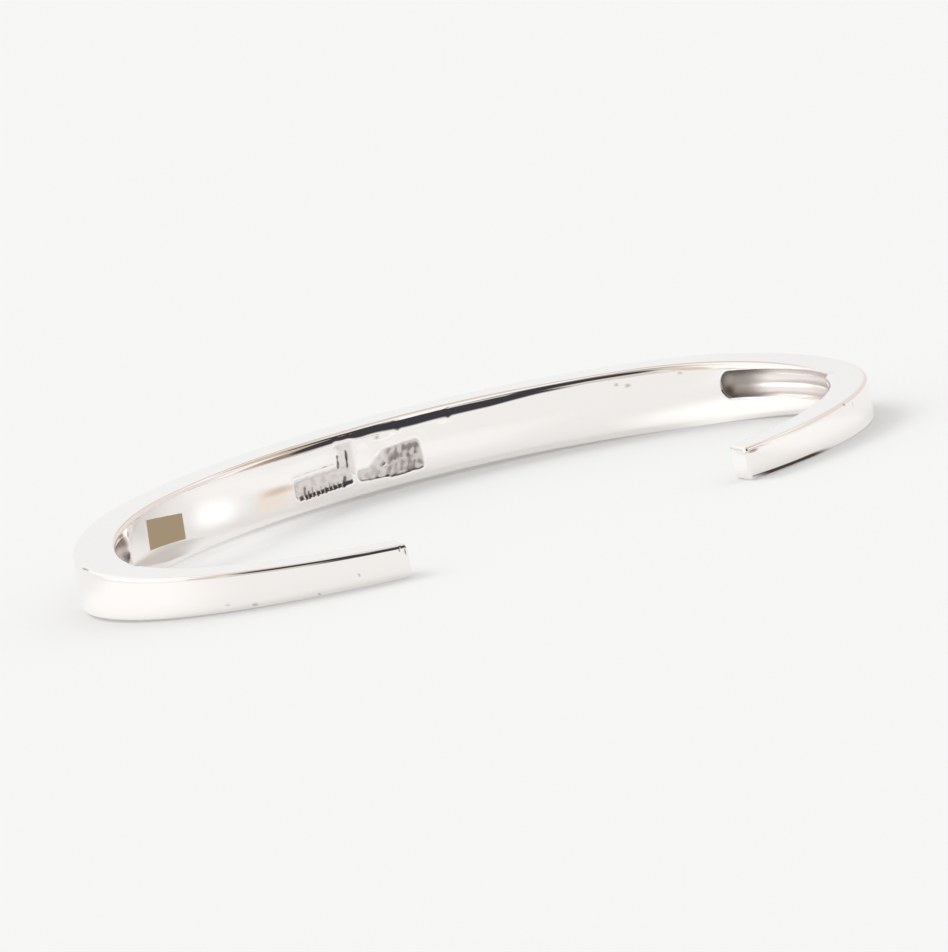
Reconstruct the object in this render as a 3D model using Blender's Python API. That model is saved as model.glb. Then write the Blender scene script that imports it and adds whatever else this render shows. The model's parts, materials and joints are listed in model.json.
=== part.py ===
"""Open cuff bracelet: one tapered silver bar bent into an oval, resting on its side.

Metres, +Z up. X runs across the cuff, the back lies towards +Y and the gap towards -Y. The bar is
first made straight: X is the length along its outer face from the middle of the back, Y is the depth
below the outer face, and Z is the height above the middle plane. It is cut there, and then bent.
"""
import math

import bmesh
import bpy
import numpy as np
from mathutils import Matrix, Vector

# Plan of the outer face
OUTER_WIDTH = 0.062         # across the two side bends
OVAL_DEPTH = 0.045          # back to front of the oval, if it were closed
FRONT_FULLNESS = 0.10       # how much fuller the front half of the oval is than the back
GAP = 0.0266                # between the two ends, at the outer face

# Section of the bar
BACK_HEIGHT = 0.0052
END_HEIGHT = 0.0024
BACK_THICKNESS = 0.0040
END_THICKNESS = 0.0025
OUTER_EDGE_RADIUS = 0.0003
INNER_EDGE_RADIUS = 0.00055  # at the back; the inner edges grow finer with the height of the bar
END_EDGE_RADIUS = 0.00025
END_SLANT = math.radians(16)  # the inner corner is cut back, so that the two end faces are parallel
SLANT_RUN = 0.004           # length of bar over which its sections turn to that slant

# Taper from the middle of the back to the end: 1 is the size at the back and 0 the size at the end
TAPER = (
    # share of the half length, height, thickness
    (0.0, 1.0, 1.0),
    (0.333, 1.0, 0.66),
    (0.667, 0.32, 0.32),
    (1.0, 0.0, 0.0),
)

# Long hollows in the inner wall, one in each side bend, measured along the outer face
HOLLOW_LENGTH = 0.0164
HOLLOW_WIDTH = 0.0022
HOLLOW_DEPTH = 0.0008
HOLLOW_PLACE = 0.562        # share of the half length
HOLLOW_LIFT = 0.0006        # above the middle plane

# Punched marks in the inner wall of the back
PUNCH_DEPTH = 0.00025
PUNCH_CORNER = 0.0003
PUNCHES = (
    # name, place as a share of the half length, lift, length and height as shares of the back height
    ("long_punch", -0.076, -0.18, 1.15, 0.28),
    ("square_punch", -0.046, 0.21, 0.36, 0.35),
    ("wide_punch", 0.018, -0.06, 1.19, 0.42),
)

# Fineness
STEP = 0.0015               # length of a facet along the bar
CORNER_FACETS = 4
END_FACETS = 3
HOLLOW_FACETS = 32
PUNCH_FACETS = 4
PLAN_STEPS = 4000           # steps and halvings with which the plan is measured
HALVINGS = 60

SILVER = (0.90, 0.88, 0.86, 1.0)
SILVER_ROUGHNESS = 0.08


def plan_point(turn):
    """A point of the outer face, before it is scaled to the width, at a turn from the back."""
    return math.sin(turn) * (1 - FRONT_FULLNESS * math.cos(turn)), math.cos(turn)


class Plan:
    """The outer face seen from above, read by its length from the middle of the back."""

    def __init__(self):
        widest = max(plan_point(math.pi * i / PLAN_STEPS)[0] for i in range(PLAN_STEPS))
        self.half_width = OUTER_WIDTH / 2 / widest
        low, high = math.pi / 2, math.pi
        for _ in range(HALVINGS):
            middle = (low + high) / 2
            if plan_point(middle)[0] * self.half_width > GAP / 2:
                low = middle
            else:
                high = middle
        self.turns = np.linspace(0, low, PLAN_STEPS)
        points = np.array([plan_point(turn) for turn in self.turns])
        points *= (self.half_width, OVAL_DEPTH / 2)
        steps = np.hypot(*np.diff(points, axis=0).T)
        self.lengths = np.concatenate(([0.0], np.cumsum(steps)))
        self.half_length = float(self.lengths[-1])

    def place(self, length, depth, height):
        """The bent place of a point of the straight bar."""
        turn = float(np.interp(abs(length), self.lengths, self.turns))
        side = 1 if length >= 0 else -1
        x, y = plan_point(turn)
        dx = math.cos(turn) - FRONT_FULLNESS * math.cos(2 * turn)
        dy = -math.sin(turn)
        along = Vector((dx * self.half_width, dy * OVAL_DEPTH / 2)).normalized()
        outwards = Vector((-along.y, along.x))
        spot = Vector((x * self.half_width, y * OVAL_DEPTH / 2)) - depth * outwards
        return Vector((side * spot.x, spot.y, height))


def taper(share, column):
    """A smooth value from the taper table, flat between equal rows."""
    rows = [(row[0], row[column]) for row in TAPER]
    slopes = [(b[1] - a[1]) / (b[0] - a[0]) for a, b in zip(rows, rows[1:])]
    tangents = [0.0]
    for before, after in zip(slopes, slopes[1:]):
        level = before * after <= 0
        tangents.append(0.0 if level else 2 * before * after / (before + after))
    tangents.append(slopes[-1] / 2)
    index = min(sum(share > row[0] for row in rows[1:-1]), len(slopes) - 1)
    (start, low), (end, high) = rows[index], rows[index + 1]
    run = end - start
    t = min(max((share - start) / run, 0.0), 1.0)
    blend = t * t * (3 - 2 * t)
    return (low * (1 - blend) + high * blend
            + run * t * (1 - t) * ((1 - t) * tangents[index] - t * tangents[index + 1]))


def bar_height(share):
    return END_HEIGHT + (BACK_HEIGHT - END_HEIGHT) * taper(share, 1)


def bar_thickness(share):
    return END_THICKNESS + (BACK_THICKNESS - END_THICKNESS) * taper(share, 2)


def section(share, inset):
    """Corners of one section, as depth and height, with its four edges rounded."""
    top = bar_height(share) / 2 - inset
    near, far = inset, bar_thickness(share) - inset
    finer = bar_height(share) / BACK_HEIGHT
    outer = min(OUTER_EDGE_RADIUS, (far - near) / 3, top / 2)
    inner = min(INNER_EDGE_RADIUS * finer, (far - near) / 3, top / 2)
    corners = (
        (near + outer, top - outer, outer, 90),
        (near + outer, outer - top, outer, 180),
        (far - inner, inner - top, inner, 270),
        (far - inner, top - inner, inner, 0),
    )
    points = []
    for depth, height, radius, start in corners:
        for i in range(CORNER_FACETS + 1):
            angle = math.radians(start + 90 * i / CORNER_FACETS)
            points.append((depth + radius * math.cos(angle), height + radius * math.sin(angle)))
    return points


def stations(plan):
    """Lengths along the bar, each with how far its section is drawn in by the rounded end."""
    straight = plan.half_length - END_EDGE_RADIUS
    cells = 2 * math.ceil(straight / STEP) + 1
    rows = [(straight * (2 * i / cells - 1), 0.0) for i in range(cells + 1)]
    for i in range(1, END_FACETS + 1):
        angle = math.pi / 2 * i / END_FACETS
        out = END_EDGE_RADIUS * math.sin(angle)
        inset = END_EDGE_RADIUS * (1 - math.cos(angle))
        rows.append((straight + out, inset))
        rows.insert(0, (-straight - out, inset))
    return rows


def straight_bar(plan):
    bm = bmesh.new()
    rings = []
    for length, inset in stations(plan):
        share = min(abs(length) / plan.half_length, 1.0)
        turned = min(max(1 - (plan.half_length - abs(length)) / SLANT_RUN, 0.0), 1.0)
        back = math.copysign(turned * math.tan(END_SLANT), length)
        verts = [bm.verts.new((length - back * depth, depth, height))
                 for depth, height in section(share, inset)]
        rings.append([bm.edges.new((a, b)) for a, b in zip(verts, verts[1:] + verts[:1])])
    for before, after in zip(rings, rings[1:]):
        bmesh.ops.bridge_loops(bm, edges=before + after)
    for ring in (rings[0], rings[-1]):
        bmesh.ops.contextual_create(bm, geom=ring)
    bmesh.ops.triangulate(bm, faces=bm.faces[:])
    bmesh.ops.recalc_face_normals(bm, faces=bm.faces[:])
    return new_object("bar", bm)


def hollow_cutter(plan, side):
    """A round-ended rod that lies along the inner wall and dips into it."""
    radius = ((HOLLOW_WIDTH / 2) ** 2 + HOLLOW_DEPTH ** 2) / (2 * HOLLOW_DEPTH)
    middle = side * HOLLOW_PLACE * plan.half_length
    straight = max(HOLLOW_LENGTH - HOLLOW_WIDTH, 0.0) / 2
    cells = max(math.ceil(2 * straight / STEP), 1)
    rows = [(-straight + 2 * straight * i / cells, radius) for i in range(cells + 1)]
    for i in range(1, HOLLOW_FACETS // 4):
        angle = math.pi / 2 * i / (HOLLOW_FACETS // 4)
        rows.append((straight + radius * math.sin(angle), radius * math.cos(angle)))
        rows.insert(0, (-straight - radius * math.sin(angle), radius * math.cos(angle)))
    turn = Matrix.Rotation(math.radians(90), 4, "Y")
    bm = bmesh.new()
    rings = []
    for along, size in rows:
        ring = bmesh.ops.create_circle(bm, segments=HOLLOW_FACETS, radius=size, matrix=turn)
        length = middle + along
        wall = bar_thickness(abs(length) / plan.half_length)
        shift = (length, wall + radius - HOLLOW_DEPTH, HOLLOW_LIFT)
        bmesh.ops.translate(bm, verts=ring["verts"], vec=shift)
        rings.append(list({edge for vert in ring["verts"] for edge in vert.link_edges}))
    for before, after in zip(rings, rings[1:]):
        bmesh.ops.bridge_loops(bm, edges=before + after)
    for ring in (rings[0], rings[-1]):
        bmesh.ops.contextual_create(bm, geom=ring)
    bmesh.ops.triangulate(bm, faces=bm.faces[:])
    bmesh.ops.recalc_face_normals(bm, faces=bm.faces[:])
    return new_object("hollow_cutter", bm)


def punch_cutter(plan, name, place, lift, length, height):
    """A rounded block as long and high as its mark, which goes PUNCH_DEPTH into the inner wall."""
    half_length, half_height = length * BACK_HEIGHT / 2, height * BACK_HEIGHT / 2
    corner = min(PUNCH_CORNER, half_length / 2, half_height / 2)
    middle = place * plan.half_length
    floor = bar_thickness(abs(place)) - PUNCH_DEPTH
    bm = bmesh.new()
    bmesh.ops.create_cube(bm, size=1.0)
    bmesh.ops.scale(bm, verts=bm.verts[:], vec=(2 * half_length, 4 * PUNCH_DEPTH, 2 * half_height))
    upright = [e for e in bm.edges if abs(e.verts[0].co.y - e.verts[1].co.y) > PUNCH_DEPTH]
    bmesh.ops.bevel(bm, geom=upright, offset=corner, segments=PUNCH_FACETS, profile=0.5,
                    affect="EDGES", material=-1)
    cells = max(math.ceil(2 * half_length / STEP), 1)
    for i in range(1, cells):
        geometry = bm.verts[:] + bm.edges[:] + bm.faces[:]
        spot = (half_length * (2 * i / cells - 1), 0, 0)
        bmesh.ops.bisect_plane(bm, geom=geometry, plane_co=spot, plane_no=(1, 0, 0))
    shift = (middle, floor + 2 * PUNCH_DEPTH, lift * BACK_HEIGHT)
    bmesh.ops.translate(bm, verts=bm.verts[:], vec=shift)
    bmesh.ops.triangulate(bm, faces=bm.faces[:])
    bmesh.ops.recalc_face_normals(bm, faces=bm.faces[:])
    return new_object(name, bm)


def new_object(name, bm):
    mesh = bpy.data.meshes.new(name)
    bm.to_mesh(mesh)
    bm.free()
    thing = bpy.data.objects.new(name, mesh)
    bpy.context.scene.collection.objects.link(thing)
    return thing


def cut(thing, cutters):
    """The mesh of a thing with its cutters taken out of it. The straight pieces are removed."""
    for cutter in cutters:
        cutter.hide_render = True
        cutter.display_type = "WIRE"
        modifier = thing.modifiers.new(cutter.name, "BOOLEAN")
        modifier.operation = "DIFFERENCE"
        modifier.solver = "EXACT"
        modifier.object = cutter
    graph = bpy.context.evaluated_depsgraph_get()
    mesh = bpy.data.meshes.new_from_object(thing.evaluated_get(graph))
    for piece in (thing, *cutters):
        bpy.data.objects.remove(piece)
    return mesh


def mass_centre(bm):
    total, centre = 0.0, Vector()
    for face in bm.faces:
        a, b, c = (vert.co for vert in face.verts)
        volume = a.dot(b.cross(c)) / 6
        total += volume
        centre += volume * (a + b + c) / 4
    return centre / total


def resting_lean(bm):
    """How far the cuff tips about X until it lies still on the floor, side down."""
    centre = mass_centre(bm)
    points = sorted({(round(vert.co.y, 7), round(vert.co.z, 7)) for vert in bm.verts})
    hull = []
    for y, z in points:
        while len(hull) > 1:
            (y0, z0), (y1, z1) = hull[-2:]
            if (y1 - y0) * (z - z0) > (z1 - z0) * (y - y0):
                break
            hull.pop()
        hull.append((y, z))
    for (y0, z0), (y1, z1) in zip(hull, hull[1:]):
        edge = Vector((y1 - y0, z1 - z0))
        along = (Vector((centre.y - y0, centre.z - z0))).dot(edge) / edge.length_squared
        if 0 <= along <= 1:
            return -math.atan2(edge.y, edge.x)
    raise RuntimeError("no side of the cuff holds it up")


def silver():
    material = bpy.data.materials.new("polished_silver")
    material.use_nodes = True
    shader = material.node_tree.nodes["Principled BSDF"]
    shader.inputs["Base Color"].default_value = SILVER
    shader.inputs["Metallic"].default_value = 1.0
    shader.inputs["Roughness"].default_value = SILVER_ROUGHNESS
    return material


def cuff_band():
    plan = Plan()
    cutters = [hollow_cutter(plan, side) for side in (-1, 1)]
    cutters += [punch_cutter(plan, *row) for row in PUNCHES]
    mesh = cut(straight_bar(plan), cutters)
    bm = bmesh.new()
    bm.from_mesh(mesh)
    bmesh.ops.triangulate(bm, faces=bm.faces[:])
    for vert in bm.verts:
        vert.co = plan.place(*vert.co)
    bm.normal_update()
    bmesh.ops.recalc_face_normals(bm, faces=bm.faces[:])
    bmesh.ops.rotate(bm, verts=bm.verts[:], matrix=Matrix.Rotation(resting_lean(bm), 3, "X"))
    lowest = min(vert.co.z for vert in bm.verts)
    front, back = (pick(vert.co.y for vert in bm.verts) for pick in (min, max))
    bmesh.ops.translate(bm, verts=bm.verts[:], vec=(0, -(front + back) / 2, -lowest))
    thing = new_object("cuff_band", bm)
    thing.data.shade_smooth()
    thing.data.set_sharp_from_angle(angle=math.radians(30))
    thing.data.materials.append(silver())
    bpy.data.meshes.remove(mesh)


def main():
    for thing in list(bpy.data.objects):
        bpy.data.objects.remove(thing)
    cuff_band()


main()
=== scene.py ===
"""Looks of an open cuff bracelet in mirror polished silver, lying on its side on a pale floor.

The bar is modelled straight and then bent, as a smith does. Straight, X is the length along its
outer face from the middle of the back, Y is the depth below the outer face, and Z is the height
above the middle plane. Everything is in metres.
"""
import json
import math

import bmesh
import bpy
import numpy as np
from bpy.props import FloatProperty, FloatVectorProperty, PointerProperty
from mathutils import Matrix, Vector, noise


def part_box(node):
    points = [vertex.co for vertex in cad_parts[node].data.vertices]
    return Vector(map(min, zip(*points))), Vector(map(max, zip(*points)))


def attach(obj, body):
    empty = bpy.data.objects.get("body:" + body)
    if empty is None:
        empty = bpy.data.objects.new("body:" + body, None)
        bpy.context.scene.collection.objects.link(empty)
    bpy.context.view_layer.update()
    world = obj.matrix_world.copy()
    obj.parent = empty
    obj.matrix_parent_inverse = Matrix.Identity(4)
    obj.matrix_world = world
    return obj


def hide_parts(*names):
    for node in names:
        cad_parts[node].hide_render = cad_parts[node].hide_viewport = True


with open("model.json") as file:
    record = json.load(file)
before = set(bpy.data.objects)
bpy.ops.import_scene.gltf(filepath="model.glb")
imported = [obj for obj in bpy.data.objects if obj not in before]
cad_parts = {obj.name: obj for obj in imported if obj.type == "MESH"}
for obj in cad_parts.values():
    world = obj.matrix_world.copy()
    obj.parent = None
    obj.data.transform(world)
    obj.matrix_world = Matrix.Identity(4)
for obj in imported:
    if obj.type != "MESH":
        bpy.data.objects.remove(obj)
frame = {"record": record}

bl_info = {
    "name": "Cuff bracelet",
    "version": (1, 0, 0),
    "blender": (4, 5, 0),
    "location": "3D View > Sidebar > Cuff",
    "description": "Models a polished silver cuff bracelet and the stage it lies on",
    "category": "Object",
}

NODE = "cuff_band"
LOW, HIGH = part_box(NODE)
LOWER_SIDE = next(mount for mount in frame["record"]["mounts"] if mount["name"] == "lower_side")

# Flat steps in the rounding of each edge, and cuts across each side of a section
END_FACETS, OUTER_FACETS, INNER_FACETS = 6, 6, 10
OUTER_CUTS, INNER_CUTS, SIDE_CUTS = 18, 60, 9

# How far apart the sections stand along the bar, in mm: where it is plain, in a hollow, at a knock
# or an end, and at the marks and the round ends of the hollows
PLAIN_STEP, HOLLOW_STEP, KNOCK_STEP, FINE_STEP = 0.5, 0.35, 0.08, 0.075
# Where they stand closer, in mm: along the marks, past a hollow, past a knock and before an end
MARKED, PAST_HOLLOW, PAST_KNOCK, BEFORE_END = (-9.2, 8.2), 0.2, 0.25, 1.5

# Taper from the middle of the back to the end: 1 is the size at the back and 0 the size at the end
TAPER = (
    # share of the half length, height, thickness
    (0.0, 1.0, 1.0),
    (0.333, 1.0, 0.66),
    (0.667, 0.32, 0.32),
    (1.0, 0.0, 0.0),
)

# How much rounder the inner top edge is than filed, by length along the bar in mm
EDGE_WEAR = (
    (-46, 1.0), (-40, 0.6), (-20, 0.6), (-15, 0.85), (-11.5, 1.1), (-8, 1.25), (-3, 1.3), (3, 1.8),
    (11, 1.75), (15, 1.25), (20, 1.0),
)

# Worn punches in the inner wall of the back, in mm, which hold nothing that can be read
POCKETS = (
    # middle along the bar, middle up, half length, half height, turn in degrees, depth, wall,
    # tarnish on its floor
    (-5.35, -0.68, 3.00, 0.80, 1, 0.10, 0.30, 0.10),
    (-2.75, 0.60, 0.95, 1.55, -3, 0.040, 0.55, 0.05),
    (0.40, -1.17, 2.50, 0.50, -4, 0.035, 0.20, 0.14),
    (0.25, -0.45, 1.30, 0.60, 35, 0.030, 0.30, 0.12),
    (2.55, -0.55, 1.80, 1.25, 3, 0.045, 0.25, 0.30),
    # a darker spot and a satin spot at the end of the left hollow, without depth
    (-31.45, 1.60, 0.30, 0.40, 0, 0.0, 0.30, 0.50),
    (-32.00, -0.10, 0.50, 0.70, 0, 0.0, 0.30, 0.0),
)
# Rounding of their corners in plan, how far their edges waver, and the place and width of the rim
# pushed up around them, in mm
POCKET_CORNER, WAVER, RIM_PLACE, RIM_WIDTH = 0.45, 0.08, 0.15, 0.18
# Height of that rim as a share of the depth, the depth in mm at which it has ended, and how uneven
# the floors are as a share of the depth
RIM_HEIGHT, RIM_END, UNEVEN = 0.2, 0.04, 0.2
# Grain of the worn silver: how far it reaches from the middle, its length and its height, in mm
GRAIN_REACH, GRAIN_LENGTH, GRAIN_HEIGHT = 12, 0.55, 0.45

# Metal that the punches pushed up, or drew down where the rise is negative, in mm
PUSHED = (
    # middle along the bar, middle up, half length, half height, rise
    (-6.0, 1.55, 2.2, 0.50, 0.020),
    (-3.5, 1.80, 0.3, 0.35, -0.045),
    (-2.3, 1.80, 0.3, 0.35, -0.020),
    (-1.0, 1.60, 0.6, 0.45, 0.030),
    (0.9, 1.80, 1.2, 0.40, -0.040),
    (2.5, 1.90, 0.25, 0.30, -0.040),
    (4.0, 1.50, 1.2, 0.50, 0.025),
    (6.6, 1.80, 0.5, 0.40, -0.025),
    (7.2, 2.00, 0.2, 0.35, -0.045),
)

# Worn strokes in the marks, in mm: a milled edge, two nicks, and worn hatching
STROKES = (
    # from along the bar and up, to along the bar and up, half width, depth, tarnish
    (-7.30, -1.45, -7.18, -0.75, 0.13, 0.05, 0.7),
    (-6.95, -1.48, -6.88, -1.10, 0.14, 0.05, 0.8),
    (-6.52, -1.45, -6.45, -0.85, 0.11, 0.04, 0.5),
    (-6.10, -1.46, -6.02, -1.20, 0.14, 0.05, 0.8),
    (-5.66, -1.40, -5.60, -1.05, 0.11, 0.04, 0.5),
    (-5.25, -1.42, -5.15, -1.22, 0.14, 0.05, 0.7),
    (-4.80, -1.36, -4.74, -1.05, 0.10, 0.04, 0.4),
    (-4.40, -1.35, -4.32, -1.15, 0.13, 0.05, 0.6),
    (-3.95, -1.32, -3.90, -1.12, 0.12, 0.04, 0.5),
    (-3.45, -1.35, -3.15, -0.85, 0.15, 0.06, 0.8),
    (-3.65, 0.10, -3.52, 0.90, 0.14, 0.05, 0.8),
    (-2.72, -0.05, -2.62, 1.15, 0.13, 0.06, 0.9),
    (-0.90, -1.30, -0.55, -1.05, 0.12, 0.03, 0.30),
    (-0.20, -1.35, 0.30, -0.95, 0.12, 0.03, 0.35),
    (0.35, -0.75, 0.70, -0.40, 0.13, 0.04, 0.40),
    (0.75, -1.45, 1.15, -1.00, 0.13, 0.04, 0.40),
    (1.15, -0.60, 1.55, -0.05, 0.15, 0.05, 0.50),
    (1.50, -1.40, 1.80, -0.90, 0.14, 0.04, 0.45),
    (1.75, -0.35, 2.05, 0.30, 0.16, 0.05, 0.60),
    (2.15, -1.30, 2.40, -0.70, 0.15, 0.05, 0.50),
    (2.40, -0.30, 2.75, 0.40, 0.17, 0.06, 0.65),
    (2.75, -1.35, 3.05, -0.80, 0.16, 0.05, 0.55),
    (3.05, -0.35, 3.35, 0.35, 0.18, 0.06, 0.65),
    (3.35, -1.30, 3.60, -0.75, 0.17, 0.05, 0.60),
    (3.65, -0.25, 3.90, 0.30, 0.17, 0.06, 0.65),
)

# Small knocks and spots of wear, in mm: on the outer faces, and on the inner wall; the long
# one on the left arm is a painted dark reflection
KNOCKS = (
    # middle along the bar, middle up, half length, half height, depth, tarnish, inner wall
    (-70.72, 0.70, 0.07, 0.32, 0.07, 0.9, False),
    (-70.35, 0.92, 0.06, 0.20, 0.06, 0.9, False),
    (-67.25, -0.29, 0.12, 0.10, 0.03, 0.5, False),
    (-64.26, -1.10, 0.14, 0.08, 0.03, 0.5, False),
    (-59.60, -1.10, 0.30, 0.10, 0.02, 0.4, False),
    # a painted dark reflection along the outer top edge of the left arm, as a very shallow knock
    (-43.20, 1.77, 0.95, 0.07, 0.01, 0.8, False),
    (-57.60, -0.90, 0.25, 0.08, 0.02, 0.3, False),
    (57.27, 0.86, 0.05, 0.30, 0.03, 0.5, False),
    (58.77, 1.22, 0.20, 0.10, 0.05, 0.6, False),
    (70.25, 0.88, 0.70, 0.08, 0.05, 0.9, False),
    (22.17, 1.71, 0.25, 0.10, 0.03, 0.3, True),
    (23.15, 1.51, 0.35, 0.12, 0.03, 0.3, True),
    (28.06, 1.93, 0.30, 0.10, 0.03, 0.3, True),
)

# How much hazier tarnish is than bright silver, how much darker the ends of the hollows are made,
# and how much duller the lower part of the left one's end is, which is not darkened
TARNISH_HAZE, HOLLOW_DARKNESS, DULLER_END = 0.35, 0.6, 2

# The camera at the photograph's angle: focal length in mm, place in metres and turns in degrees
CAMERA_LENS = 203.9
CAMERA_PLACE = (-0.14075, -0.37010, 0.06116)
CAMERA_TURNS = (81.353, 12.180, -22.785)
# The wide soft lamp: its breadth and its turns, in degrees
LAMP_BREADTH, LAMP_TURNS = 30, (48, 0, 210)
# Radius of the round floor, in metres
FLOOR_RADIUS = 4.0


def millimetres(value):
    return value / 1000


def size(name, value, description):
    return FloatProperty(name=name, description=description, default=millimetres(value),
                         unit="LENGTH", subtype="DISTANCE", precision=5)


def share(name, value, description):
    return FloatProperty(name=name, description=description, default=value, subtype="FACTOR")


def linear(colour):
    """An sRGB hex colour as linear red, green and blue."""
    values = [int(colour[i:i + 2], 16) / 255 for i in (1, 3, 5)]
    return [v / 12.92 if v <= 0.04045 else ((v + 0.055) / 1.055) ** 2.4 for v in values]


def tint(name, colour, description):
    return FloatVectorProperty(name=name, description=description, default=linear(colour),
                               subtype="COLOR", size=3, min=0.0, max=1.0)


class CuffBandSettings(bpy.types.PropertyGroup):
    outer_width: size("Width", 62.0, "Across the two side bends")
    oval_depth: size("Depth", 45.0, "Back to front of the oval, if it were closed")
    front_fullness: share("Front fullness", 0.10, "How much fuller the front of the oval is")
    gap: size("Gap", 26.6, "Between the two ends, at the outer face")
    back_height: size("Back height", 5.2, "Height of the bar at the back")
    end_height: size("End height", 2.4, "Height of the bar at its ends")
    back_thickness: size("Back thickness", 4.0, "Thickness of the bar at the back")
    end_thickness: size("End thickness", 2.5, "Thickness of the bar at its ends")
    outer_edge: size("Outer edge", 0.3, "Rounding of the outer edges")
    inner_edge: size("Inner edge", 0.55, "Rounding of the inner edges at the back")
    end_edge: size("End edge", 0.25, "Rounding of the edges of the two ends")
    end_slant: FloatProperty(name="End slant", description="How far each end is cut back inside",
                             default=math.radians(16), unit="ROTATION", subtype="ANGLE")
    slant_run: size("Slant run", 4.0, "Length over which the sections turn to that slant")
    hollow_length: size("Hollow length", 16.4, "Length of each hollow along the outer face")
    hollow_width: size("Hollow width", 2.2, "Width of each hollow")
    hollow_depth: size("Hollow depth", 0.8, "Depth of each hollow")
    hollow_place: share("Hollow place", 0.562, "Middle of each hollow along half the bar")
    hollow_lift: size("Hollow lift", 0.6, "Middle of each hollow above the middle plane")
    wear: share("Wear", 1.0, "Depth of the marks and knocks, as a share of the real ones")


class CuffSilverSettings(bpy.types.PropertyGroup):
    silver: tint("Silver", "#FBF8F5", "Bright polished silver")
    dull_silver: tint("Dull silver", "#EEE8E5",
                      "Silver in the hollows, where the polish doesn't reach")
    # The oxide colour also darkens the ends of the hollows and paints one dark reflection on the
    # left arm
    oxide: tint("Oxide", "#54432F", "Tarnish left in the marks")
    polish: share("Haze", 0.055, "Haze of the best polished places")
    smear: share("Smears", 0.035, "How much hazier the smeared places are")
    dull: share("Dullness", 0.16, "How much hazier the hollows are")


class CuffStageSettings(bpy.types.PropertyGroup):
    floor: tint("Floor", "#E9E9E8", "Plain pale floor")
    glow: FloatProperty(name="Floor glow", description="Light that comes up through the floor",
                        default=0.07, min=0.0)
    evenness: share("Even reflection", 0.4, "How evenly lit the floor looks in the silver")
    light: FloatProperty(name="Soft light", description="Strength of the light from all around",
                         default=0.90, min=0.0)
    sun: FloatProperty(name="Lamp", description="Strength of the wide soft lamp behind",
                       default=0.72, min=0.0)
    white: FloatProperty(name="White walls", description="Brightness of the studio in reflections",
                         default=1.03, min=0.0)


class Bar:
    """The plan and the taper of the bar, from its named sizes."""

    STEPS = 4000
    HALVINGS = 60

    def __init__(self, sizes):
        self.sizes = sizes
        turns = np.linspace(0, math.pi, self.STEPS)
        self.half_width = sizes.outer_width / 2 / self.across(turns).max()
        low, high = math.pi / 2, math.pi
        for _ in range(self.HALVINGS):
            middle = (low + high) / 2
            if self.across(middle) * self.half_width > sizes.gap / 2:
                low = middle
            else:
                high = middle
        self.turns = np.linspace(0, low, self.STEPS)
        steps = np.hypot(np.diff(self.across(self.turns)) * self.half_width,
                         np.diff(np.cos(self.turns)) * sizes.oval_depth / 2)
        self.lengths = np.concatenate(([0.0], np.cumsum(steps)))
        self.half_length = float(self.lengths[-1])

    def across(self, turn):
        """Distance from the middle line at a turn from the back, before scaling to the width."""
        return np.sin(turn) * (1 - self.sizes.front_fullness * np.cos(turn))

    def bend(self, points):
        """The bent places of points of the straight bar, one to a row."""
        half_depth = self.sizes.oval_depth / 2
        turn = np.interp(np.abs(points[:, 0]), self.lengths, self.turns)
        side = np.where(points[:, 0] < 0, -1.0, 1.0)
        dx = (np.cos(turn) - self.sizes.front_fullness * np.cos(2 * turn)) * self.half_width
        dy = -np.sin(turn) * half_depth
        run = np.hypot(dx, dy)
        x = self.across(turn) * self.half_width + points[:, 1] * dy / run
        y = np.cos(turn) * half_depth - points[:, 1] * dx / run
        return np.column_stack((side * x, y, points[:, 2]))

    def taper(self, shares, column):
        """Values from the taper table on a smooth curve that stays flat between equal rows."""
        places = [row[0] for row in TAPER]
        values = [row[column] for row in TAPER]
        runs = np.diff(places)
        slopes = np.diff(values) / runs
        tangents = [0.0]
        for before, after in zip(slopes, slopes[1:]):
            level = before * after <= 0
            tangents.append(0.0 if level else 2 * before * after / (before + after))
        tangents.append(slopes[-1] / 2)
        index = np.clip(np.searchsorted(places, shares) - 1, 0, len(runs) - 1)
        t = np.clip((shares - np.array(places)[index]) / runs[index], 0, 1)
        blend = t * t * (3 - 2 * t)
        values, tangents = np.array(values), np.array(tangents)
        return (values[index] * (1 - blend) + values[index + 1] * blend
                + runs[index] * t * (1 - t) * ((1 - t) * tangents[index] - t * tangents[index + 1]))

    def height(self, shares):
        sizes = self.sizes
        return sizes.end_height + (sizes.back_height - sizes.end_height) * self.taper(shares, 1)

    def thickness(self, shares):
        sizes = self.sizes
        span = sizes.back_thickness - sizes.end_thickness
        return sizes.end_thickness + span * self.taper(shares, 2)


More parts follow.
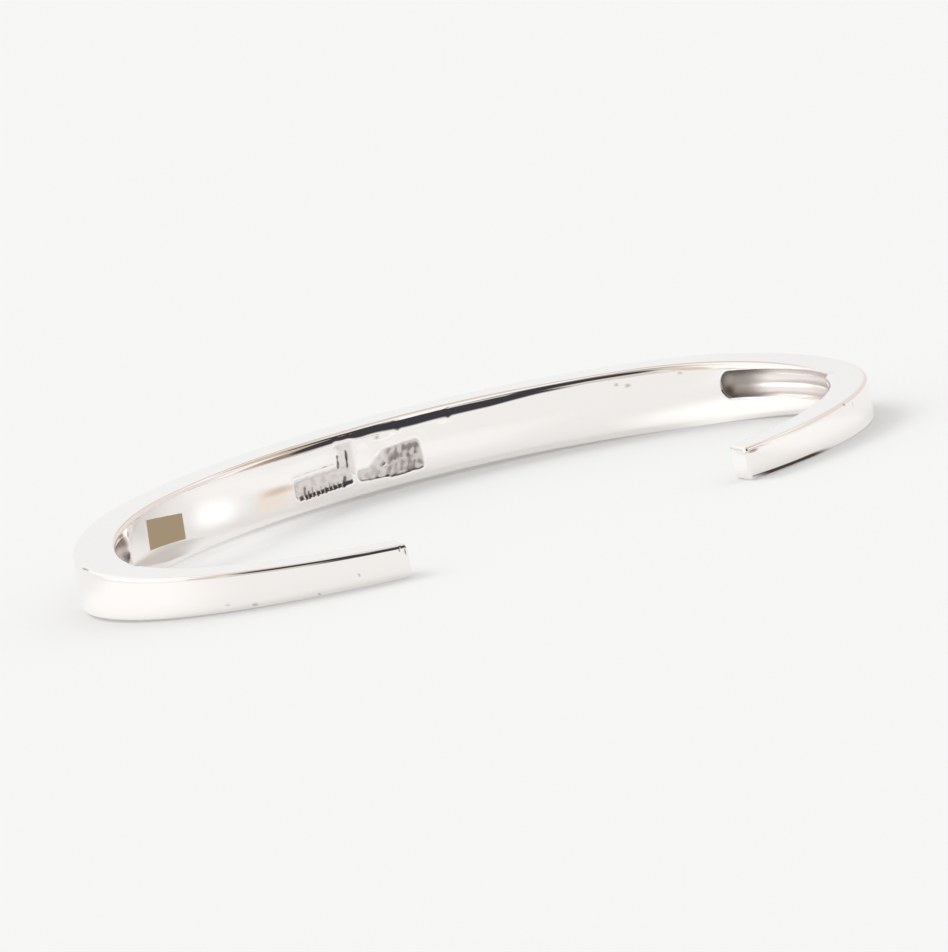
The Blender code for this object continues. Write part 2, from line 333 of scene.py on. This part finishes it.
def stations(bar):
    """Lengths along the bar, close together where it has detail, and how far each is drawn in."""
    sizes = bar.sizes
    straight = bar.half_length - sizes.end_edge
    middle = sizes.hollow_place * bar.half_length
    near, far = middle - sizes.hollow_length / 2, middle + sizes.hollow_length / 2
    round_end = sizes.hollow_width / 2
    past, close, fine = (millimetres(value) for value in (PAST_HOLLOW, KNOCK_STEP, FINE_STEP))
    zones = [(millimetres(MARKED[0]), millimetres(MARKED[1]), fine)]
    for low, high, step in ((near - past, near + round_end, fine),
                            (near + round_end, far - round_end, millimetres(HOLLOW_STEP)),
                            (far - round_end, far + past, fine),
                            (straight - millimetres(BEFORE_END), straight, close)):
        zones += [(low, high, step), (-high, -low, step)]
    for along, _, half, *_ in KNOCKS:
        reach = half + PAST_KNOCK
        zones.append((millimetres(along - reach), millimetres(along + reach), close))
    lengths = [-straight]
    while lengths[-1] < straight:
        here = lengths[-1]
        step = min([step for low, high, step in zones if low <= here < high],
                   default=millimetres(PLAIN_STEP))
        stop = min([low for low, _, _ in zones if low > here], default=straight)
        lengths.append(min(here + step, stop, straight))
    rows = [(length, 0.0) for length in lengths]
    for i in range(1, END_FACETS + 1):
        angle = math.pi / 2 * i / END_FACETS
        out, inset = sizes.end_edge * math.sin(angle), sizes.end_edge * (1 - math.cos(angle))
        rows = [(-straight - out, inset)] + rows + [(straight + out, inset)]
    return np.array(rows)


def section(bm, sizes):
    """The flat section of the bar at the back, its edges rounded and its sides divided."""
    bmesh.ops.create_grid(bm, x_segments=1, y_segments=1, size=0.5)
    turn = Matrix.Rotation(math.radians(-90), 3, "Y")
    bmesh.ops.rotate(bm, verts=bm.verts[:], matrix=turn)
    bmesh.ops.translate(bm, verts=bm.verts[:], vec=(0, 0.5, 0))
    bmesh.ops.scale(bm, verts=bm.verts[:], vec=(1, sizes.back_thickness, sizes.back_height))
    middle, close = sizes.back_thickness / 2, sizes.outer_edge / 10
    for inner, radius, segments in ((True, sizes.inner_edge, INNER_FACETS),
                                    (False, sizes.outer_edge, OUTER_FACETS)):
        corners = [v for v in bm.verts if (v.co.y > middle) is inner and len(v.link_edges) == 2
                   and abs(abs(v.co.z) - sizes.back_height / 2) < close
                   and min(abs(v.co.y), abs(v.co.y - sizes.back_thickness)) < close]
        bmesh.ops.bevel(bm, geom=corners, offset=radius, offset_type="OFFSET", segments=segments,
                        profile=0.5, affect="VERTICES", material=-1)
    long_edges = [e for e in bm.edges if e.calc_length() > sizes.back_thickness / 2]
    for edge in long_edges:
        a, b = edge.verts
        upright = abs(a.co.y - b.co.y) < close
        inner = (a.co.y + b.co.y) / 2 > middle
        cuts = (INNER_CUTS if inner else OUTER_CUTS) if upright else SIDE_CUTS
        bmesh.ops.subdivide_edges(bm, edges=[edge], cuts=cuts)


def drawn(value, half, corner, new_half, new_corner):
    """A distance from the middle of a section, moved to another half size and corner radius."""
    flat, new_flat = half - corner, new_half - new_corner
    rounded = new_half - (half - np.abs(value)) * new_corner / corner
    return np.where(np.abs(value) > flat, np.sign(value) * rounded, value * new_flat / flat)


def shaped(bar, points, insets):
    """Points of the even bar, moved to its taper, its worn top edge and its slanted ends."""
    sizes = bar.sizes
    shares = np.minimum(np.abs(points[:, 0]) / bar.half_length, 1.0)
    height, thickness = bar.height(shares), bar.thickness(shares)
    middle = sizes.back_thickness / 2
    inner = points[:, 1] > middle
    corner = np.where(inner, sizes.inner_edge, sizes.outer_edge)
    limit = np.minimum((thickness - 2 * insets) / 3, (height / 2 - insets) / 2)
    places = [millimetres(place) for place, _ in EDGE_WEAR]
    worn = np.interp(points[:, 0], places, [factor for _, factor in EDGE_WEAR])
    worn = np.where(points[:, 2] > 0, worn, 1.0)
    rounder = np.where(inner, corner * worn * height / sizes.back_height, corner)
    new_corner = np.minimum(rounder, limit)
    z = drawn(points[:, 2], sizes.back_height / 2, corner, height / 2 - insets, new_corner)
    y = drawn(points[:, 1] - middle, middle, corner, thickness / 2 - insets, new_corner)
    y += thickness / 2
    turned = np.clip(1 - (bar.half_length - np.abs(points[:, 0])) / sizes.slant_run, 0, 1)
    x = points[:, 0] - np.sign(points[:, 0]) * turned * math.tan(sizes.end_slant) * y
    return np.column_stack((x, y, z)), thickness


def hollow_depths(bar, points):
    """How deep the two long hollows go at each point of the inner wall."""
    sizes = bar.sizes
    half = sizes.hollow_width / 2
    radius = (half ** 2 + sizes.hollow_depth ** 2) / (2 * sizes.hollow_depth)
    rise = radius - sizes.hollow_depth
    along = np.abs(np.abs(points[:, 0]) - sizes.hollow_place * bar.half_length)
    beyond = np.maximum(along - (sizes.hollow_length / 2 - half), 0.0)
    away = np.hypot(beyond, points[:, 2] - sizes.hollow_lift)
    inside = np.sqrt(np.maximum(radius ** 2 - away ** 2, rise ** 2)) - rise
    outside = (half - away) * half / rise
    depth = np.where(away < half, inside, outside)
    # The polish has rounded their rims, and well outside them the wall is plain
    softness = millimetres(0.05)
    return (depth + np.sqrt(depth ** 2 + softness ** 2)) / 2 * (depth > -10 * softness)


def hollow_finish(bar, points, depths):
    """How much darker and duller the hollows are made, most at their ends nearest the back."""
    sizes = bar.sizes
    dullness = smooth(0.0, 0.3, depths / sizes.hollow_depth)
    start = sizes.hollow_place * bar.half_length - sizes.hollow_length / 2
    along = np.abs(points[:, 0]) - start
    full, gone = millimetres(2.0), millimetres(5.0)
    dark_end = dullness * (1 - smooth(full, gone, along))
    # The lower part of that end of the left hollow is not darkened but duller still
    low, high = millimetres(0.5), millimetres(1.1)
    upper = np.where(points[:, 0] < 0, smooth(low, high, points[:, 2]), 1.0)
    return HOLLOW_DARKNESS * upper * dark_end, dullness + DULLER_END * (1 - upper) * dark_end


def smooth(low, high, value):
    """A step from 0 at the low value to 1 at the high one, without corners."""
    t = np.clip((value - low) / (high - low), 0, 1)
    return t * t * (3 - 2 * t)


def spot(x, z, middle, half, turn=0.0):
    """Places from the middle of a turned mark, as shares of its half length and half height."""
    cos, sin = math.cos(math.radians(turn)), math.sin(math.radians(turn))
    x, z = x - middle[0], z - middle[1]
    return (x * cos + z * sin) / half[0], (z * cos - x * sin) / half[1]


def wear_relief(points, normals):
    """How far wear lifts each point, in metres, and how tarnished and how satin it is there; one
    knock's tarnish is a painted dark reflection.
    """
    x, z = points[:, 0] * 1000, points[:, 2] * 1000
    # Wear on the inner wall leaves the outer face alone, and the other way round
    inner, outer = smooth(0.1, 0.4, normals[:, 1]), smooth(0.1, 0.4, -normals[:, 1])
    rise, tarnish_and_darkening, satin, rough, pocket, rim = np.zeros((6, len(points)))
    near = np.abs(x) < GRAIN_REACH
    rough[near] = [noise.noise(Vector((a / GRAIN_LENGTH, b / GRAIN_HEIGHT, 0)))
                   for a, b in zip(x[near], z[near])]
    patchy = 0.6 + 1.4 * smooth(-0.2, 0.5, rough)
    for along, up, half_length, half_height, turn, depth, wall, stain in POCKETS:
        u, v = spot(x, z, (along, up), (1, 1), turn)
        beyond = [np.maximum(np.abs(way) - half + POCKET_CORNER, 0)
                  for way, half in ((u, half_length), (v, half_height))]
        edge = np.hypot(*beyond) - POCKET_CORNER + WAVER * rough
        inside = inner * (1 - smooth(-wall, 0, edge))
        pocket = np.maximum(pocket, depth * inside)
        satin = np.maximum(satin, inside)
        tarnish_and_darkening = np.maximum(tarnish_and_darkening, stain * inside * patchy)
        rim = np.maximum(rim, depth * np.exp(-((edge - RIM_PLACE) / RIM_WIDTH) ** 2))
    outside = 1 - smooth(0.0, RIM_END, pocket)
    rise += inner * (RIM_HEIGHT * rim * outside - pocket * (1 + UNEVEN * rough))
    for along, up, half_length, half_height, height in PUSHED:
        u, v = spot(x, z, (along, up), (half_length, half_height))
        rise += inner * height * np.exp(-u * u - v * v)
    for x0, z0, x1, z1, half_width, depth, stain in STROKES:
        dx, dz = x1 - x0, z1 - z0
        t = np.clip(((x - x0) * dx + (z - z0) * dz) / (dx * dx + dz * dz), 0, 1)
        groove = np.exp(-(np.hypot(x - x0 - t * dx, z - z0 - t * dz) / half_width) ** 2)
        rise -= inner * depth * groove
        tarnish_and_darkening = np.maximum(tarnish_and_darkening, inner * stain * smooth(0.25, 0.85, groove * (1 + rough)))
    for along, up, half_length, half_height, depth, stain, inside in KNOCKS:
        u, v = spot(x, z, (along, up), (half_length, half_height))
        knock = np.exp(-u * u - v * v) * (inner if inside else outer)
        rise -= depth * knock
        tarnish_and_darkening = np.maximum(tarnish_and_darkening, stain * smooth(0.3, 0.9, knock))
    return rise / 1000, tarnish_and_darkening, satin


def settle(points):
    """Leans the bent bar as it rests on its side, and puts it where the frame has it."""
    normal = LOWER_SIDE["axis"]
    lean = math.atan2(normal[1], -normal[2])
    turned = points @ np.array(Matrix.Rotation(lean, 3, "X")).T
    lowest, highest = turned.min(0), turned.max(0)
    shift = (0, (LOW.y + HIGH.y - lowest[1] - highest[1]) / 2, LOW.z - lowest[2])
    return turned + shift


def node(tree, kind, inputs=None, **settings):
    """Adds one shader node, with its settings, its values and its links."""
    made = tree.nodes.new(kind)
    for name, value in settings.items():
        setattr(made, name, value)
    for name, value in (inputs or {}).items():
        if isinstance(value, bpy.types.NodeSocket):
            tree.links.new(value, made.inputs[name])
        else:
            made.inputs[name].default_value = value
    return made


def polished_silver(looks):
    """Sterling silver, forged, filed and polished to a mirror, then lightly worn.

    It gives the eye sharp reflections of the room, warm white where the room is white. Faint lines
    of the polishing wheel run along the bar, the polish is a little smeared, it thins out in the
    hollows, and tarnish is left in the marks. The tarnish colour also darkens the ends of the
    hollows, and paints one dark reflection along the outer top edge of the left arm.
    """
    material = bpy.data.materials.new("polished_silver")
    material.use_nodes = True
    tree = material.node_tree
    shader = tree.nodes["Principled BSDF"]
    shader.inputs["Metallic"].default_value = 1.0
    place = node(tree, "ShaderNodeAttribute", attribute_name="bar").outputs["Vector"]
    stain = node(tree, "ShaderNodeAttribute", attribute_name="tarnish_and_darkening").outputs["Fac"]
    dull = node(tree, "ShaderNodeAttribute", attribute_name="dull").outputs["Fac"]

    # Lines of the wheel: 3 to 6 mm long and about 0.03 mm apart, drawn 0.15 mm apart to show at all
    stretch = node(tree, "ShaderNodeMapping", {"Vector": place, "Scale": (200, 6600, 6600)})
    lines = node(tree, "ShaderNodeTexNoise", {"Vector": stretch.outputs[0], "Scale": 1.0,
                                              "Detail": 2.0})
    # Smears of the last cloth: patches 4 mm long and 1.5 mm high
    wide = node(tree, "ShaderNodeMapping", {"Vector": place, "Scale": (250, 650, 650)})
    smears = node(tree, "ShaderNodeTexNoise", {"Vector": wide.outputs[0], "Scale": 1.0,
                                               "Detail": 3.0})

    haze = node(tree, "ShaderNodeMapRange", {"Value": smears.outputs["Fac"], "From Min": 0.4,
                                             "From Max": 0.75, "To Min": looks.polish,
                                             "To Max": looks.polish + looks.smear})
    hazier = node(tree, "ShaderNodeMath", {0: dull, 1: looks.dull, 2: haze.outputs["Result"]},
                  operation="MULTIPLY_ADD")
    rough = node(tree, "ShaderNodeMath", {0: stain, 1: TARNISH_HAZE, 2: hazier.outputs[0]},
                 operation="MULTIPLY_ADD")
    tree.links.new(rough.outputs[0], shader.inputs["Roughness"])

    faded = node(tree, "ShaderNodeMix", {"Factor": dull, 6: (*looks.silver, 1),
                                         7: (*looks.dull_silver, 1)}, data_type="RGBA")
    colour = node(tree, "ShaderNodeMix", {"Factor": stain, 6: faded.outputs[2],
                                          7: (*looks.oxide, 1)}, data_type="RGBA")
    tree.links.new(colour.outputs[2], shader.inputs["Base Color"])

    bump = node(tree, "ShaderNodeBump", {"Height": lines.outputs["Fac"], "Strength": 0.02,
                                         "Distance": millimetres(0.05)})
    tree.links.new(bump.outputs["Normal"], shader.inputs["Normal"])
    return material


# What stands around the cuff in the studio, as the polished silver sees it
SKY_CARDS = (
    # azimuth from the front towards the right, elevation, half width, half height, softness, all in
    # degrees, lean in degrees of azimuth to one of elevation, colour and brightness
    (180, 8, 60, 12, 10, 0.0, "#F4F5F6", 1.0),
    (-180, 8, 60, 12, 10, 0.0, "#F4F5F6", 1.0),
    (-115, 15, 18, 4, 6, 0.0, "#FFFFFF", 2.2),
    (160, 48, 14, 8, 8, 0.0, "#E2D9CC", 1.0),
    (145, 30, 12, 3, 6, 0.0, "#BDB0A2", 1.0),
    (-95, 66, 15, 6, 8, 0.0, "#D9CDBF", 1.0),
    (-120, 82, 60, 7, 10, 0.0, "#B4ACA5", 1.0),
    (0, 87, 180, 4, 6, 0.0, "#B4ACA5", 1.0),
    (95, 54, 42, 4, 5, 0.0, "#D2BFAE", 1.0),
    (110, 22, 34, 14, 12, 0.0, "#EAE2DC", 1.0),
    (48, 25, 10, 30, 7, 0.0, "#CDB8A5", 1.0),
    (-42, 15, 18, 22, 8, 0.0, "#D8D2CC", 1.0),
    (-73, 35, 5, 30, 5, 0.0, "#DCCFC2", 1.0),
    (-44, 64, 28, 24, 10, -0.6, "#3B3C42", 1.0),
    (13, 20, 36, 10, 12, 0.3, "#8F8A87", 1.0),
    (13, 44, 36, 30, 5, 0.3, "#3B3C42", 1.0),
    (76, 65, 30, 4, 5, 0.0, "#3B3C42", 1.0),
)

# Painted pools of light and two painted brown shadows on the floor, as the polished silver sees
# them
FLOOR_CARDS = (
    # place across and back, half width, half depth, softness, all in mm, lean in mm across to one
    # back, colour and brightness
    (-40, -4, 4, 7, 12, 0.0, "#FFFFFF", 1.2),
    (28, -19, 3, 6, 5, 0.0, "#FFFFFF", 1.1),
    (8, -13, 2, 3, 3, 0.0, "#FFFFFF", 1.1),
    (5, 6.5, 2, 1.5, 3, 0.0, "#FFFFFF", 1.05),
    (20, 5, 3, 1, 5, 0.0, "#FFFFFF", 1.45),
    (-14, 10.6, 3, 0.8, 1.2, 0.0, "#7A5C48", 1.0),
    (-21, 5, 2, 3, 4, 0.0, "#D2B49C", 1.0),
)

# Where more light comes up through the floor, into the shade of the left bend
FLOOR_LAMPS = (
    # the same columns
    (-16.0, 12, 1, 2, 8, 1.2, "#FFFFFF", 4.2),
)

# Small glowing cards close to the silver, which only the polish shows: painted reflections
SMALL_CARDS = (
    # its four corners from the top left and clockwise, in mm, colour, brightness, and softness of
    # its edges as a share of its width; first those beside the left of the inner wall
    ("tan_card", ((-21.0, 9.2, 4.1), (-17.0, 12.1, 3.4), (-17.1, 12.1, 1.4), (-21.2, 9.1, 1.8)),
     "#A5947C", 1.0, 0.02),
    # a painted highlight on the inner wall of the left bend
    ("painted_highlight_card", ((-16.8, 12.3, 4.4), (-10.0, 15.2, 3.3), (-11.0, 14.9, 0.6), (-17.2, 12.2, 1.2)),
     "#FFFFFF", 1.15, 0.9),
    ("beige_card", ((-10.5, 15.0, 3.3), (-6.0, 16.2, 2.9), (-6.5, 16.2, 0.7), (-11.1, 14.9, 0.7)),
     "#EFE6DE", 1.0, 0.7),
    ("sand_card", ((-10.0, 15.3, 2.9), (-5.8, 16.3, 2.8), (-6.0, 16.3, 2.0), (-10.2, 15.2, 2.0)),
     "#D8C9BB", 1.0, 0.9),
    # and a dark one, a painted shadow, that lies on the floor along the foot of the right arm
    ("painted_shadow_card",
     ((13.7, -20.7, 0.02), (22.8, -16.2, 0.02), (21.6, -19.0, 0.02), (12.7, -23.2, 0.02)),
     "#4A3E36", 1.0, 0.5),
)


def cards(tree, place, colour, rows):
    """Lays cards with soft edges over a colour, in the plane of two of a place's numbers."""
    for middle, height, half_width, half_height, soft, lean, paint, strength in rows:
        away = node(tree, "ShaderNodeVectorMath", {0: place, 1: (middle, height, 0)},
                    operation="SUBTRACT")
        across = node(tree, "ShaderNodeVectorMath", {0: away.outputs[0], 1: (1, -lean, 0)},
                      operation="DOT_PRODUCT")
        up = node(tree, "ShaderNodeVectorMath", {0: away.outputs[0], 1: (0, 1, 0)},
                  operation="DOT_PRODUCT")
        sheared = node(tree, "ShaderNodeCombineXYZ", {"X": across.outputs["Value"],
                                                      "Y": up.outputs["Value"]})
        span = node(tree, "ShaderNodeVectorMath", {0: sheared.outputs[0]}, operation="ABSOLUTE")
        beyond = node(tree, "ShaderNodeVectorMath", {0: span.outputs[0],
                                                     1: (half_width, half_height, 0)},
                      operation="SUBTRACT")
        out = node(tree, "ShaderNodeVectorMath", {0: beyond.outputs[0], 1: (0, 0, 0)},
                   operation="MAXIMUM")
        gap = node(tree, "ShaderNodeVectorMath", {0: out.outputs[0]}, operation="LENGTH")
        card = node(tree, "ShaderNodeMapRange", {"Value": gap.outputs["Value"], "From Max": soft,
                                                 "To Min": 1.0, "To Max": 0.0},
                    interpolation_type="SMOOTHSTEP")
        paint = [strength * v for v in linear(paint)] + [1]
        mix = node(tree, "ShaderNodeMix", {"Factor": card.outputs["Result"], 6: colour, 7: paint},
                   data_type="RGBA")
        colour = mix.outputs[2]
    return colour


def studio(looks):
    """White walls all around, with a dark side behind the camera that only reflections show."""
    world = bpy.data.worlds.new("studio")
    world.use_nodes = True
    tree = world.node_tree
    way = node(tree, "ShaderNodeTexCoord").outputs["Generated"]
    axes = node(tree, "ShaderNodeSeparateXYZ", {"Vector": way}).outputs
    front = node(tree, "ShaderNodeMath", {0: axes["Y"], 1: -1.0}, operation="MULTIPLY")
    azimuth = node(tree, "ShaderNodeMath", {0: axes["X"], 1: front.outputs[0]}, operation="ARCTAN2")
    elevation = node(tree, "ShaderNodeMath", {0: axes["Z"]}, operation="ARCSINE")
    radians = node(tree, "ShaderNodeCombineXYZ", {"X": azimuth.outputs[0],
                                                  "Y": elevation.outputs[0]})
    place = node(tree, "ShaderNodeVectorMath", {0: radians.outputs[0], "Scale": math.degrees(1)},
                 operation="SCALE").outputs[0]
    white = node(tree, "ShaderNodeRGB").outputs[0]
    white.default_value = [looks.white * v for v in linear("#FFFEFD")] + [1]
    colour = cards(tree, place, white, SKY_CARDS)
    seen = node(tree, "ShaderNodeLightPath").outputs["Is Glossy Ray"]
    plain = node(tree, "ShaderNodeBackground", {"Color": (1, 1, 1, 1), "Strength": looks.light})
    walls = node(tree, "ShaderNodeBackground", {"Color": colour, "Strength": 1.0})
    both = node(tree, "ShaderNodeMixShader", {0: seen, 1: plain.outputs[0], 2: walls.outputs[0]})
    tree.links.new(both.outputs[0], tree.nodes["World Output"].inputs["Surface"])
    return world


def opal_board(looks):
    """Opal acrylic sheet on a light box, matt: pale, with soft shadows that never grow dark.
    In the silver's reflections it shows painted pools of light and painted shadows.
    """
    material = bpy.data.materials.new("opal_board")
    material.use_nodes = True
    tree = material.node_tree
    shader = tree.nodes["Principled BSDF"]
    shader.inputs["Base Color"].default_value = (*looks.floor, 1)
    shader.inputs["Roughness"].default_value = 0.9
    shader.inputs["Specular IOR Level"].default_value = 0.0
    shader.inputs["Emission Strength"].default_value = looks.glow
    way = node(tree, "ShaderNodeTexCoord").outputs["Object"]
    place = node(tree, "ShaderNodeVectorMath", {0: way, "Scale": 1000.0},
                 operation="SCALE").outputs[0]
    even = node(tree, "ShaderNodeRGB").outputs[0]
    even.default_value = (1, 1, 1, 1)
    tree.links.new(cards(tree, place, even, FLOOR_LAMPS), shader.inputs["Emission Color"])
    # In the silver's reflections the floor is partly an even white with painted pools of light and
    # painted shadows
    white = node(tree, "ShaderNodeRGB").outputs[0]
    white.default_value = (*linear("#F3F2F2"), 1)
    painted_pools_and_shadows = node(tree, "ShaderNodeEmission", {"Color": cards(tree, place, white, FLOOR_CARDS)})
    seen = node(tree, "ShaderNodeLightPath").outputs["Is Glossy Ray"]
    share_seen = node(tree, "ShaderNodeMath", {0: seen, 1: looks.evenness}, operation="MULTIPLY")
    both = node(tree, "ShaderNodeMixShader", {0: share_seen.outputs[0], 1: shader.outputs[0],
                                              2: painted_pools_and_shadows.outputs[0]})
    tree.links.new(both.outputs[0], tree.nodes["Material Output"].inputs["Surface"])
    return material


def small_card(name, corners, paint, brightness, soft):
    """Painted card, matt and glowing evenly, which only the polished silver shows: a painted
    reflection.
    """
    bm = bmesh.new()
    bm.loops.layers.uv.new("card")
    bmesh.ops.create_grid(bm, x_segments=6, y_segments=6, size=0.5, calc_uvs=True)
    left_top, right_top, right_low, left_low = (millimetres(Vector(corner)) for corner in corners)
    for vert in bm.verts:
        across, up = vert.co.x + 0.5, vert.co.y + 0.5
        vert.co = left_low.lerp(right_low, across).lerp(left_top.lerp(right_top, across), up)
    mesh = bpy.data.meshes.new(name)
    bm.to_mesh(mesh)
    bm.free()
    material = bpy.data.materials.new(name)
    material.use_nodes = True
    tree = material.node_tree
    tree.nodes.remove(tree.nodes["Principled BSDF"])
    place = node(tree, "ShaderNodeTexCoord").outputs["UV"]
    clear = node(tree, "ShaderNodeRGB").outputs[0]
    clear.default_value = (0, 0, 0, 1)
    half = 0.5 - soft / 2
    shape = cards(tree, place, clear, ((0.5, 0.5, half, half, soft / 2, 0.0, "#FFFFFF", 1.0),))
    open_air = node(tree, "ShaderNodeBsdfTransparent")
    lit = node(tree, "ShaderNodeEmission", {"Color": (*linear(paint), 1), "Strength": brightness})
    both = node(tree, "ShaderNodeMixShader", {0: shape, 1: open_air.outputs[0],
                                              2: lit.outputs[0]})
    tree.links.new(both.outputs[0], tree.nodes["Material Output"].inputs["Surface"])
    mesh.materials.append(material)
    card = bpy.data.objects.new(name, mesh)
    card.visible_camera = card.visible_diffuse = card.visible_shadow = False
    return card


class CUFF_OT_band(bpy.types.Operator):
    """Model the silver bar, bend it and lay it down"""

    bl_idname = "cuff.band"
    bl_label = "Silver band"

    def execute(self, context):
        sizes, looks = context.scene.cuff_band, context.scene.cuff_silver
        bar = Bar(sizes)
        rows = stations(bar)
        bm = bmesh.new()
        section(bm, sizes)
        # One section to the unit at first: then each goes to its own place along the bar
        made = bmesh.ops.extrude_face_region(bm, geom=bm.faces[:], use_keep_orig=True)
        far = [g for g in made["geom"] if isinstance(g, bmesh.types.BMVert)]
        bmesh.ops.translate(bm, verts=far, vec=(len(rows) - 1, 0, 0))
        lengthwise = [e for e in bm.edges if abs(e.verts[0].co.x - e.verts[1].co.x) > 0.5]
        bmesh.ops.subdivide_edges(bm, edges=lengthwise, cuts=len(rows) - 2, use_grid_fill=True)
        points = np.array([v.co for v in bm.verts])
        index = np.round(points[:, 0]).astype(int)
        points[:, 0] = rows[index, 0]
        flat, thickness = shaped(bar, points, rows[index, 1])
        for vert, where in zip(bm.verts, flat):
            vert.co = where
        bm.normal_update()
        bmesh.ops.recalc_face_normals(bm, faces=bm.faces[:])
        bm.normal_update()
        normals = np.array([v.normal for v in bm.verts])
        # Only the inner part of the thickness is hollowed, so the outer face stays plain
        hollows = hollow_depths(bar, flat) * smooth(0.55, 0.85, flat[:, 1] / thickness)
        rise, stains_and_darkening, satin = wear_relief(flat, normals)
        worn = flat + sizes.wear * rise[:, None] * normals
        worn[:, 1] -= hollows
        final = settle(bar.bend(worn))
        place = bm.verts.layers.float_vector.new("bar")
        tarnish_and_darkening = bm.verts.layers.float.new("tarnish_and_darkening")
        dull = bm.verts.layers.float.new("dull")
        # The ends of the hollows are made darker with the tarnish colour
        hollow_darkening, dullness = hollow_finish(bar, flat, hollows)
        stains_and_darkening += hollow_darkening
        dullness = np.maximum(dullness, satin)
        for vert, where, straight, stain, haze in zip(bm.verts, final, flat, stains_and_darkening, dullness):
            vert.co = where
            vert[place] = straight
            vert[tarnish_and_darkening] = stain
            vert[dull] = haze
        # A narrow border keeps the shading of the two flat ends flat
        ends = [f for f in bm.faces if len(f.verts) > 4]
        bmesh.ops.inset_region(bm, faces=ends, thickness=millimetres(0.03), depth=0.0)
        bm.normal_update()
        bmesh.ops.recalc_face_normals(bm, faces=bm.faces[:])
        mesh = bpy.data.meshes.new("silver_band")
        bm.to_mesh(mesh)
        bm.free()
        mesh.shade_smooth()
        band = bpy.data.objects.new("silver_band", mesh)
        context.scene.collection.objects.link(band)
        mesh.materials.append(polished_silver(looks))
        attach(band, "root")
        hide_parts(NODE)
        return {"FINISHED"}


class CUFF_OT_stage(bpy.types.Operator):
    """Lay the pale floor, light it softly and set the camera"""

    bl_idname = "cuff.stage"
    bl_label = "Stage and camera"

    def execute(self, context):
        looks = context.scene.cuff_stage
        scene = context.scene
        bm = bmesh.new()
        bmesh.ops.create_circle(bm, cap_ends=True, segments=64, radius=FLOOR_RADIUS)
        mesh = bpy.data.meshes.new("floor")
        bm.to_mesh(mesh)
        bm.free()
        floor = bpy.data.objects.new("floor", mesh)
        scene.collection.objects.link(floor)
        mesh.materials.append(opal_board(looks))
        for row in SMALL_CARDS:
            card = small_card(*row)
            scene.collection.objects.link(card)

        scene.world = studio(looks)
        lamp = bpy.data.objects.new("lamp", bpy.data.lights.new("lamp", "SUN"))
        lamp.data.energy = looks.sun
        lamp.data.angle = math.radians(LAMP_BREADTH)
        lamp.rotation_euler = [math.radians(angle) for angle in LAMP_TURNS]
        lamp.visible_glossy = False
        scene.collection.objects.link(lamp)

        camera = bpy.data.objects.new("camera", bpy.data.cameras.new("camera"))
        camera.data.lens = CAMERA_LENS
        camera.data.clip_start = 0.01
        camera.data.clip_end = 20.0
        camera.location = CAMERA_PLACE
        camera.rotation_euler = [math.radians(angle) for angle in CAMERA_TURNS]
        scene.collection.objects.link(camera)
        scene.camera = camera
        scene.view_settings.view_transform = "Standard"
        return {"FINISHED"}


class CUFF_PT_panel(bpy.types.Panel):
    bl_label = "Cuff bracelet"
    bl_space_type = "VIEW_3D"
    bl_region_type = "UI"
    bl_category = "Cuff"

    def draw(self, context):
        scene = context.scene
        for settings in (scene.cuff_band, scene.cuff_silver, scene.cuff_stage):
            box = self.layout.box()
            for name in settings.__annotations__:
                box.prop(settings, name)
        for operator in (CUFF_OT_band, CUFF_OT_stage):
            self.layout.operator(operator.bl_idname)


SETTINGS = (
    ("cuff_band", CuffBandSettings),
    ("cuff_silver", CuffSilverSettings),
    ("cuff_stage", CuffStageSettings),
)
CLASSES = (CUFF_OT_band, CUFF_OT_stage, CUFF_PT_panel)


def register():
    for name, settings in SETTINGS:
        bpy.utils.register_class(settings)
        setattr(bpy.types.Scene, name, PointerProperty(type=settings))
    for kind in CLASSES:
        bpy.utils.register_class(kind)


def unregister():
    for kind in reversed(CLASSES):
        bpy.utils.unregister_class(kind)
    for name, settings in reversed(SETTINGS):
        delattr(bpy.types.Scene, name)
        bpy.utils.unregister_class(settings)


def main():
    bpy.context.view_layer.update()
    register()
    bpy.ops.cuff.band()
    bpy.ops.cuff.stage()


if __name__ == "__main__":
    main()
